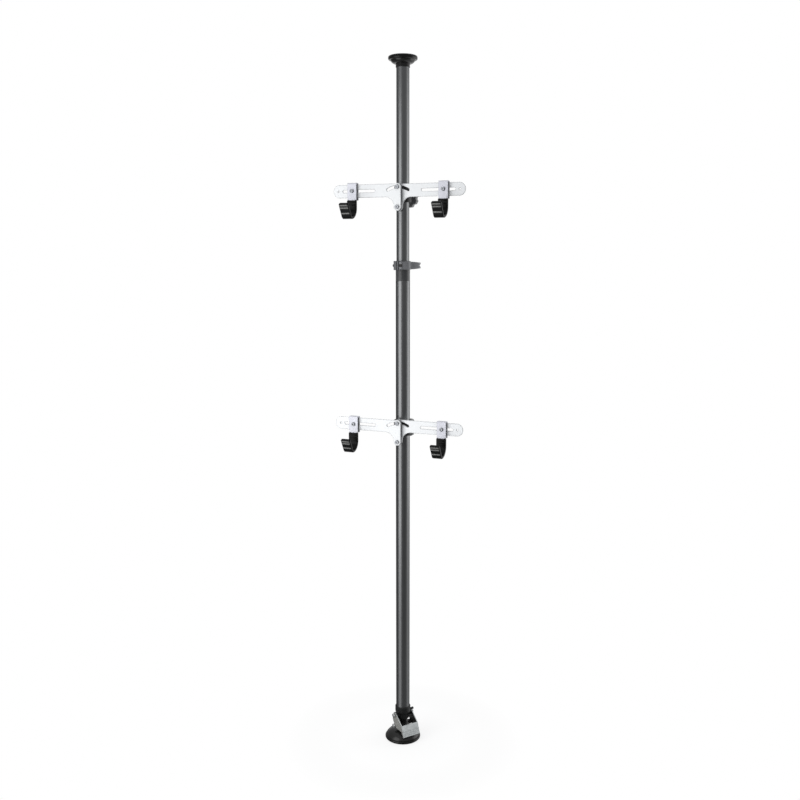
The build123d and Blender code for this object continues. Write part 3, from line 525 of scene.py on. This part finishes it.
@dataclass
class RubberHooks:
    """The four ribbed rubber hooks: a strap, a wide bend, a tight heel and a lip that leans out to a round tip."""

    thickness: float = 9.0 * MM
    bend_radius: float = 35.0 * MM
    heel_radius: float = 14.0 * MM
    lean: float = math.radians(30.0)
    lip_height: float = 49.0 * MM
    rib_rounding: tuple[tuple[float, float], ...] = ((0.9 * MM, 0.8 * MM), (0.7 * MM, 0.3 * MM))
    rib_width: float = 5.0 * MM
    strap_ribs: tuple[float, ...] = (3.0 * MM, 11.5 * MM)
    lip_ribs: tuple[float, ...] = (4.5 * MM, 13.0 * MM, 31.0 * MM)
    bend_steps: int = 18
    heel_steps: int = 10
    tip_inset: float = 1.1 * MM
    corner_radius: float = 5.0 * MM
    corner_steps: int = 6
    edge_radius: float = 2.2 * MM
    edge_steps: int = 4
    edge_angle: float = math.radians(50.0)
    rib_match: float = 0.02
    rib_facing: float = 0.995
    tang_width: float = 22.0 * MM
    tang_length: float = 22.0 * MM
    tang_wall: float = 3.0 * MM
    tang_back: float = 1.5 * MM
    tang_room: float = 0.12 * MM

    def node(self, mount: Mount, side: Side) -> str:
        """Returns the name of one hook's CAD node."""
        return f"{mount.value}_{side.value}_hook_cover"

    def build(self) -> None:
        """Models one hook, and copies it to the other three places."""
        first = self.node(Mount.UPPER, Side.LEFT)
        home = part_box(first)[0]
        pattern = self.model(*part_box(first))
        for mount in Mount:
            for side in Side:
                node = self.node(mount, side)
                hook = pattern if node == first else copied(pattern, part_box(node)[0] - home)
                # The lip's ribs wear the rubber with a painted highlight.
                settle(hook, node, HOOK_RUBBER, RIB_HIGHLIGHT_RUBBER)

    def model(self, low: Vector, high: Vector) -> bpy.types.Object:
        """Models one hook in the box of its CAD node.

        Args:
            low: the lowest corner.
            high: the highest corner.

        Returns:
            The finished hook.
        """
        hook = self.band(low, high)
        apply_modifier(hook, "BEVEL", width=self.edge_radius, segments=self.edge_steps, limit_method="ANGLE",
                       angle_limit=self.edge_angle)
        self.raise_ribs(hook, low, high)
        room = Vector((self.tang_room, self.tang_room, self.tang_room))
        middle = (low.x + high.x) / 2
        slot_low = Vector((middle - self.tang_width / 2, high.y - self.tang_back - self.tang_wall,
                           high.z - self.tang_length))
        slot_high = Vector((middle + self.tang_width / 2, high.y - self.tang_back, high.z + self.tang_length))
        cut(hook, box(slot_low - room, slot_high + room), Cut.AWAY)
        close_up(hook)
        return hook

    def band(self, low: Vector, high: Vector) -> bpy.types.Object:
        """Draws a flat strip down the strap, round the bend and the heel and up the lip, and rounds its corners.

        Args:
            low: the lowest corner.
            high: the highest corner.

        Returns:
            The bare band.
        """
        skin = self.thickness - sum(rise for _, rise in self.rib_rounding)
        bend = Vector(((low.x + high.x) / 2, high.y - self.bend_radius, low.z + self.bend_radius))
        heel = Vector((bend.x, bend.y, low.z + self.heel_radius))
        out = Vector((0, -math.sin(self.lean), math.cos(self.lean)))
        lip_foot = heel.z - (self.heel_radius - self.thickness / 2) * math.sin(self.lean)
        lip_rise = low.z + self.lip_height - self.thickness / 2 - lip_foot
        lip_run = lip_rise / math.cos(self.lean) + skin / 2 - self.tip_inset
        deselect()
        bpy.ops.mesh.primitive_plane_add(size=1.0, location=(bend.x, high.y - skin / 2, high.z))
        bpy.ops.transform.resize(value=(high.x - low.x, skin, 1.0))
        bpy.ops.object.transform_apply(location=True, rotation=True, scale=True)
        edit(active_mesh())
        for run in self.runs(high.z - bend.z, self.strap_ribs):
            bpy.ops.mesh.extrude_region_move(TRANSFORM_OT_translate={"value": (0, 0, -run)})
        bpy.ops.mesh.spin(steps=self.bend_steps, angle=math.pi / 2, center=bend, axis=(1, 0, 0))
        bpy.ops.mesh.spin(steps=self.heel_steps, angle=math.pi / 2 - self.lean, center=heel, axis=(1, 0, 0))
        for run in reversed(self.runs(lip_run, self.lip_ribs)):
            bpy.ops.mesh.extrude_region_move(TRANSFORM_OT_translate={"value": run * out})
        tip = leave_edit()
        top = max(vertex.co.dot(out) for vertex in tip.data.vertices if vertex.co.y < bend.y)
        edit(tip)
        pick_edges(lambda a, b: min(a.dot(out), b.dot(out)) > top - TINY and max(a.y, b.y) < bend.y
                   and abs(a.x - b.x) < TINY)
        bpy.ops.mesh.bevel(offset=self.corner_radius, segments=self.corner_steps, affect="EDGES")
        band = leave_edit()
        close_up(band)
        return band

    def runs(self, length: float, ribs: tuple[float, ...]) -> list[float]:
        """Divides a straight run into bands, so that ribs can be drawn out of every second one.

        Args:
            length: the whole run.
            ribs: where the ribs start, from the run's free end.

        Returns:
            The bands' lengths, from the run's free end.
        """
        marks = [0.0]
        for start in ribs:
            marks += [start, start + self.rib_width]
        marks.append(length)
        return [after - before for before, after in zip(marks, marks[1:])]

    def raise_ribs(self, hook: bpy.types.Object, low: Vector, high: Vector) -> None:
        """Draws rounded ribs out of the strap's inner face and the lip's outer face, and marks those of the lip for
        a painted highlight.

        Args:
            hook: the hook, in object mode.
            low: the lowest corner.
            high: the highest corner.
        """
        band = self.rib_width * (high.x - low.x - 2 * self.edge_radius)
        lip_facing = Vector((0, -math.cos(self.lean), -math.sin(self.lean)))
        edit(hook)
        count = pick_faces(lambda face: abs(face.area / band - 1) < self.rib_match
                           and max(face.normal.dot(lip_facing), -face.normal.y) > self.rib_facing)
        leave_edit()
        # Faces of the lip's ribs are marked for the painted highlight.
        for face in hook.data.polygons:
            face.material_index = int(face.select and face.normal.dot(lip_facing) > self.rib_facing)
        bpy.ops.object.mode_set(mode="EDIT")
        for width, rise in self.rib_rounding:
            bpy.ops.mesh.inset(thickness=width, depth=rise, use_individual=True)
        leave_edit()
        log.info("hook ribs: %d", count)


@dataclass
class CeilingPad:
    """The rubber pad under the ceiling: a rolled rim and ring grooves that grip."""

    sides: int = 128
    edge_radius: float = 4.5 * MM
    edge_steps: int = 8
    rings: int = 4
    land: float = 4.0 * MM
    groove: float = 2.4 * MM
    depth: float = 1.2 * MM

    def build(self) -> None:
        """Models the pad in the box of its CAD node."""
        low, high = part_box("ceiling_pad")
        pad = disc((low + high) / 2, (high.x - low.x) / 2, high.z - low.z, self.sides)
        edit(pad)
        pick_edges(lambda a, b: abs(a.z - b.z) < TINY)
        bpy.ops.mesh.bevel(offset=self.edge_radius, segments=self.edge_steps, affect="EDGES")
        pick_faces(lambda face: face.normal.z > FLAT and face.center.z > high.z - TINY)
        cut_rings(self.rings, self.land, self.groove, self.depth)
        leave_edit()
        close_up(pad)
        settle(pad, "ceiling_pad", PAD_RUBBER)


@dataclass
class FootSole:
    """The rubber sole under the foot: a rolled rim, a seat for the screw and a ringed tread."""

    sides: int = 160
    edge_radius: float = 4.0 * MM
    edge_steps: int = 8
    seat_radius: float = 8.4 * MM
    seat_depth: float = 4.4 * MM
    rings: int = 5
    land: float = 5.0 * MM
    groove: float = 2.2 * MM
    depth: float = 1.0 * MM

    def build(self) -> None:
        """Models the sole in the box of its CAD node."""
        low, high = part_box("foot_sole")
        radius = (high.x - low.x) / 2
        sole = disc((low + high) / 2, radius, high.z - low.z, self.sides)
        edit(sole)
        pick_edges(lambda a, b: abs(a.z - b.z) < TINY)
        bpy.ops.mesh.bevel(offset=self.edge_radius, segments=self.edge_steps, affect="EDGES")
        pick_faces(lambda face: face.normal.z > FLAT and face.center.z > high.z - TINY)
        bpy.ops.mesh.inset(thickness=radius - self.edge_radius - self.seat_radius, depth=0)
        bpy.ops.mesh.extrude_region_move(TRANSFORM_OT_translate={"value": (0, 0, -self.seat_depth)})
        pick_faces(lambda face: face.normal.z < -FLAT and face.center.z < low.z + TINY)
        cut_rings(self.rings, self.land, self.groove, self.depth)
        leave_edit()
        close_up(sole)
        settle(sole, "foot_sole", PAD_RUBBER)


@dataclass
class ClampKnobs:
    """The two star knobs behind the mounts: scalloped grips with a capped middle."""

    radius: float = 28.0 * MM
    sides: int = 140
    scallops: int = 7
    scallop_radius: float = 8.0 * MM
    scallop_depth: float = 3.5 * MM
    scallop_sides: int = 48
    grip_length: float = 18.0 * MM
    edge_radius: float = 2.4 * MM
    edge_steps: int = 4
    edge_angle: float = math.radians(32.0)
    hub_radius: float = 12.0 * MM
    hub_sides: int = 64
    bore_radius: float = 4.15 * MM
    bore_depth: float = 18.2 * MM
    bore_sides: int = 48
    recess_radius: float = 15.0 * MM
    recess_depth: float = 2.4 * MM
    recess_sides: int = 96
    cap_gap: float = 1.2 * MM
    cap_rise: float = 1.6 * MM
    cap_edge: tuple[float, float] = (0.6 * MM, 0.5 * MM)

    def build(self) -> None:
        """Models one knob, and copies it to the other mount."""
        first, second = (f"{mount.value}_knob" for mount in Mount)
        pattern = self.model(first)
        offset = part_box(second)[0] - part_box(first)[0]
        twin = copied(pattern, offset)
        # The knobs' charcoal is partly a painted highlight.
        settle(pattern, first, CHARCOAL_NYLON)
        settle(twin, second, CHARCOAL_NYLON)

    def model(self, node: str) -> bpy.types.Object:
        """Models one knob about its stud.

        Args:
            node: the knob's CAD node.

        Returns:
            The finished knob.
        """
        low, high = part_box(node)
        stud_low, stud_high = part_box(f"{node}_stud")
        axis = Vector(((stud_low.x + stud_high.x) / 2, 0, (stud_low.z + stud_high.z) / 2))
        grip = Vector((axis.x, high.y - self.grip_length / 2, axis.z))
        knob = disc(grip, self.radius, self.grip_length, self.sides, level=True)
        cut(knob, self.scallop_tool(grip), Cut.AWAY)
        apply_modifier(knob, "BEVEL", width=self.edge_radius, segments=self.edge_steps, limit_method="ANGLE",
                       angle_limit=self.edge_angle)
        hub_length = high.y - low.y - self.grip_length
        hub_end = low.y + hub_length + self.edge_radius
        hub = disc(Vector((axis.x, (low.y + hub_end) / 2, axis.z)), self.hub_radius, hub_end - low.y,
                   self.hub_sides, level=True)
        cut(knob, hub, Cut.TOGETHER)
        bore = disc(Vector((axis.x, low.y, axis.z)), self.bore_radius, 2 * self.bore_depth, self.bore_sides,
                    level=True)
        cut(knob, bore, Cut.AWAY)
        recess = disc(Vector((axis.x, high.y, axis.z)), self.recess_radius, 2 * self.recess_depth,
                      self.recess_sides, level=True)
        cut(knob, recess, Cut.AWAY)
        edit(knob)
        floor = high.y - self.recess_depth
        pick_faces(lambda face: face.normal.y > FLAT and abs(face.center.y - floor) < TINY)
        bpy.ops.mesh.inset(thickness=self.cap_gap, depth=0)
        bpy.ops.mesh.extrude_region_move(TRANSFORM_OT_translate={"value": (0, self.cap_rise, 0)})
        inset, rise = self.cap_edge
        bpy.ops.mesh.inset(thickness=inset, depth=rise)
        leave_edit()
        close_up(knob)
        return knob

    def scallop_tool(self, centre: Vector) -> bpy.types.Object:
        """Makes the ring of round bars that cut the scallops.

        Args:
            centre: the middle of the grip.

        Returns:
            The bars, as one object.
        """
        reach = self.radius + self.scallop_radius - self.scallop_depth
        bar = disc(centre + Vector((reach, 0, 0)), self.scallop_radius, 2 * self.grip_length, self.scallop_sides,
                   level=True)
        edit(bar)
        turn = 2 * math.pi * (self.scallops - 1) / self.scallops
        bpy.ops.mesh.spin(steps=self.scallops - 1, dupli=True, angle=turn, center=centre, axis=(0, -1, 0))
        bpy.ops.mesh.select_all(action="SELECT")
        bpy.ops.mesh.normals_make_consistent(inside=False)
        return leave_edit()


@dataclass
class PedalLever:
    """The pedal lever's bent sheet: a light tread, duller plates beside it and painted shade on the faces inside."""

    node: str = "pedal_lever"
    joint: str = "pedal_turn"
    plate_facing: float = 0.9

    def build(self) -> None:
        """Marks the plates' outer and inner faces, and dresses the lever in three finishes."""
        joint = next(row for row in frame["record"]["behaviour"]["joints"] if row["name"] == self.joint)
        across = Vector(joint["axis"])
        lever = frame["nodes"][self.node]
        for face in lever.data.polygons:
            turned = face.normal.dot(across)
            kind = Sheet.TREAD
            if abs(turned) > self.plate_facing:
                kind = Sheet.INSIDE if turned * face.center.dot(across) < 0 else Sheet.OUTSIDE
            face.material_index = kind.value
        # The faces inside wear painted shade.
        dress(lever, ZINC_SHEET, SCUFFED_SHEET, INNER_SHADE_SHEET)
        log.info("%s wears three finishes", self.node)


@dataclass(frozen=True)
class SoftBox:
    """An upright soft box that faces the pole, at a bearing in degrees from the front towards the right."""

    name: str
    bearing: float
    reach: float
    height: float
    size: tuple[float, float]
    watts: float

    def place(self) -> None:
        """Adds the lamp to the scene."""
        data = bpy.data.lights.new(self.name, "AREA")
        data.shape = "RECTANGLE"
        data.size, data.size_y = self.size
        data.energy = self.watts
        lamp = bpy.data.objects.new(self.name, data)
        turn = math.radians(self.bearing)
        lamp.location = (math.sin(turn) * self.reach, -math.cos(turn) * self.reach, self.height)
        lamp.rotation_euler = (math.pi / 2, 0, turn)
        bpy.context.scene.collection.objects.link(lamp)


@dataclass
class Studio:
    """Camera, lamps, world and floor."""

    bearing: float = 22.0
    distance: float = 2.93
    height: float = 1.612
    pitch: float = 8.86
    lens: float = 41.625
    sensor: float = 36.0
    shift_pixels: float = -2.86
    picture_pixels: int = 800
    soft_boxes: tuple[SoftBox, ...] = (
        SoftBox("front_left_soft_box", -28.0, 1.7, 1.14, (1.4, 2.24), 27.0),
        SoftBox("right_back_soft_box", 125.0, 2.6, 1.3, (1.8, 2.4), 25.0),
    )
    soft_colour: str = "#f4f5f6"
    soft_level: float = 0.44
    overhead_level: float = 0.75
    overhead_power: float = 2.0
    bright_bearing: float = 160.0
    bright_fade: tuple[float, float] = (0.2, 0.6)
    floor_radius: float = 14.0
    floor_sides: int = 96
    floor_drop: float = 0.3 * MM
    floor_paints: tuple[str, str] = ("#f6f6f6", "#b0b0b0")
    paint_fade: tuple[float, float] = (0.2, 0.45)
    floor_polish: str = "#a8a8a8"
    polish_roughness: float = 0.25
    white_fade: tuple[float, float] = (0.05, 0.4)
    white_shares: tuple[float, float] = (0.74, 1.0)

    def camera(self) -> None:
        """Places the camera, to the right of the front and a little above the middle of the stand."""
        turn = math.radians(self.bearing)
        data = bpy.data.cameras.new("camera")
        data.lens = self.lens
        data.sensor_width = self.sensor
        data.shift_x = self.shift_pixels / self.picture_pixels
        camera = bpy.data.objects.new("camera", data)
        camera.location = (math.sin(turn) * self.distance, -math.cos(turn) * self.distance, self.height)
        camera.rotation_euler = (math.radians(90 - self.pitch), 0, turn)
        bpy.context.scene.collection.objects.link(camera)
        bpy.context.scene.camera = camera

    def seen(self, tree: bpy.types.NodeTree, mirrored: bpy.types.NodeSocket) -> bpy.types.NodeSocket:
        """Adds the share that is one for the eye, and also where it is met by reflection or through glass.

        Args:
            tree: the node tree that gets the nodes.
            mirrored: a share that fades what is reflected.

        Returns:
            The share's socket.
        """
        path = add_node(tree, "ShaderNodeLightPath")
        bent = add_node(tree, "ShaderNodeMath", {"operation": "MAXIMUM"}, links={
            0: path.outputs["Is Glossy Ray"], 1: path.outputs["Is Transmission Ray"]})
        faded = add_node(tree, "ShaderNodeMath", {"operation": "MULTIPLY"}, links={0: bent.outputs[0], 1: mirrored})
        both = add_node(tree, "ShaderNodeMath", {"operation": "MAXIMUM"}, links={
            0: path.outputs["Is Camera Ray"], 1: faded.outputs[0]})
        return both.outputs[0]

    def behind(self, tree: bpy.types.NodeTree, towards: bpy.types.NodeSocket) -> bpy.types.NodeSocket:
        """Adds the share that is one behind the object and nought in front of it.

        Args:
            tree: the node tree that gets the nodes.
            towards: the direction looked at, from the pole.

        Returns:
            The share's socket.
        """
        turn = math.radians(self.bright_bearing)
        nought, one = self.bright_fade
        unit = add_node(tree, "ShaderNodeVectorMath", {"operation": "NORMALIZE"}, links={0: towards})
        facing = add_node(tree, "ShaderNodeVectorMath", {"operation": "DOT_PRODUCT"}, {
            1: (math.sin(turn), -math.cos(turn), 0)}, {0: unit.outputs["Vector"]})
        share = add_node(tree, "ShaderNodeMapRange", values={"From Min": nought, "From Max": one},
                         links={"Value": facing.outputs["Value"]})
        return share.outputs["Result"]

    def world(self) -> None:
        """Makes the world: white to the eye and in reflections from behind; a soft light, more from above."""
        world = bpy.data.worlds.new("studio")
        bpy.context.scene.world = world
        world.use_nodes = True
        tree = world.node_tree
        tree.nodes.clear()
        towards = add_node(tree, "ShaderNodeTexCoord").outputs["Generated"]
        rise = add_node(tree, "ShaderNodeSeparateXYZ", links={0: towards})
        above = add_node(tree, "ShaderNodeMath", {"operation": "MAXIMUM"}, {1: 0.0}, {0: rise.outputs["Z"]})
        overhead = add_node(tree, "ShaderNodeMath", {"operation": "POWER"}, {1: self.overhead_power},
                            {0: above.outputs[0]})
        level = add_node(tree, "ShaderNodeMath", {"operation": "MULTIPLY_ADD"}, {
            1: self.overhead_level, 2: self.soft_level}, {0: overhead.outputs[0]})
        soft = add_node(tree, "ShaderNodeBackground", values={"Color": linear(self.soft_colour)},
                        links={"Strength": level.outputs[0]})
        white = add_node(tree, "ShaderNodeBackground", values={"Color": WHITE, "Strength": 1.0})
        mix = add_node(tree, "ShaderNodeMixShader", links={
            0: self.seen(tree, self.behind(tree, towards)), 1: soft.outputs[0], 2: white.outputs[0]})
        add_node(tree, "ShaderNodeOutputWorld", links={"Surface": mix.outputs[0]})

    def floor(self) -> None:
        """Lays the floor: pale, polished where it is mirrored, with the stand's shadow and white further out."""
        deselect()
        bpy.ops.mesh.primitive_circle_add(vertices=self.floor_sides, radius=self.floor_radius, fill_type="NGON",
                                          location=(0, 0, -self.floor_drop))
        floor = active_mesh()
        floor.name = "studio_floor"
        material = bpy.data.materials.new("pale_studio_floor")
        material.use_nodes = True
        tree = material.node_tree
        tree.nodes.clear()
        place = add_node(tree, "ShaderNodeTexCoord").outputs["Object"]
        reach = add_node(tree, "ShaderNodeVectorMath", {"operation": "LENGTH"}, links={0: place}).outputs["Value"]
        laid = self.floor_surface(tree, reach)
        near, far = self.white_fade
        least, most = self.white_shares
        fade = add_node(tree, "ShaderNodeMapRange", values={
            "From Min": near, "From Max": far, "To Min": least, "To Max": most}, links={"Value": reach})
        share = add_node(tree, "ShaderNodeMath", {"operation": "MULTIPLY"}, links={
            0: fade.outputs["Result"], 1: self.seen(tree, self.behind(tree, place))})
        white = add_node(tree, "ShaderNodeEmission", values={"Color": WHITE, "Strength": 1.0})
        mix = add_node(tree, "ShaderNodeMixShader", links={0: share.outputs[0], 1: laid, 2: white.outputs[0]})
        add_node(tree, "ShaderNodeOutputMaterial", links={"Surface": mix.outputs[0]})
        floor.data.materials.append(material)

    def floor_surface(self, tree: bpy.types.NodeTree, reach: bpy.types.NodeSocket) -> bpy.types.NodeSocket:
        """Adds the floor's own surface: matt paint that darkens outwards, and a dull polish in reflections.

        Args:
            tree: the floor's node tree.
            reach: the distance from the pole.

        Returns:
            The surface's socket.
        """
        near, far = self.paint_fade
        inner, outer = self.floor_paints
        dim = add_node(tree, "ShaderNodeMapRange", values={"From Min": near, "From Max": far},
                       links={"Value": reach})
        paint = add_node(tree, "ShaderNodeMix", {"data_type": "RGBA"}, {FIRST: linear(inner), SECOND: linear(outer)},
                         {SHARE: dim.outputs["Result"]})
        matt = add_node(tree, "ShaderNodeBsdfDiffuse", links={"Color": paint.outputs[MIXED]})
        polish = add_node(tree, "ShaderNodeBsdfGlossy", values={
            "Color": linear(self.floor_polish), "Roughness": self.polish_roughness})
        mirrored = add_node(tree, "ShaderNodeLightPath").outputs["Is Glossy Ray"]
        laid = add_node(tree, "ShaderNodeMixShader", links={0: mirrored, 1: matt.outputs[0], 2: polish.outputs[0]})
        return laid.outputs[0]

    def build(self) -> None:
        """Sets up the whole studio."""
        bpy.context.scene.view_settings.view_transform = "Standard"
        self.camera()
        self.world()
        self.floor()
        for soft_box in self.soft_boxes:
            soft_box.place()
            log.info("%s lights the stand", soft_box.name)


def dress_cad() -> None:
    """Gives every CAD node the finish of its material slot, or one of its own."""
    by_slot = {
        "tube_graphite": ANODISED_TUBE, "silver_paint": POWDER_COAT, "saddle_steel": NICKEL_STRIP,
        "pedal_steel": ZINC_SHEET, "pin_chrome": POLISHED_PIN, "bolt_steel": ZINC_BOLT, "hook_rubber": HOOK_RUBBER,
        "sole_rubber": PAD_RUBBER, "gloss_black": GLOSS_ABS, "matt_black": GRAINED_NYLON, "dark_grey": FLAKE_PAINT,
        "post_steel": BLACK_STEEL,
    }
    # The lever's paler paint is a painted highlight.
    by_node = {"clamp_lever": LEVER_HIGHLIGHT_PAINT, "guide_bush": SMOOTH_ACETAL,
               **{f"{mount.value}_hub_spacer": FLAKE_PAINT for mount in Mount}}
    for subpart in frame["record"]["subparts"]:
        node = subpart["node"]
        finish = by_node.get(node, by_slot[subpart["material_slot"]])
        dress(frame["nodes"][node], finish)
        log.info("%s wears %s", node, finish.name)


def main() -> None:
    """Builds the studio and every piece."""
    logging.basicConfig(level=logging.INFO, format="%(name)s: %(message)s")
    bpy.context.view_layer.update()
    Studio().build()
    dress_cad()
    PedalLever().build()
    RubberHooks().build()
    CeilingPad().build()
    FootSole().build()
    ClampKnobs().build()


if __name__ == "__main__":
    main()
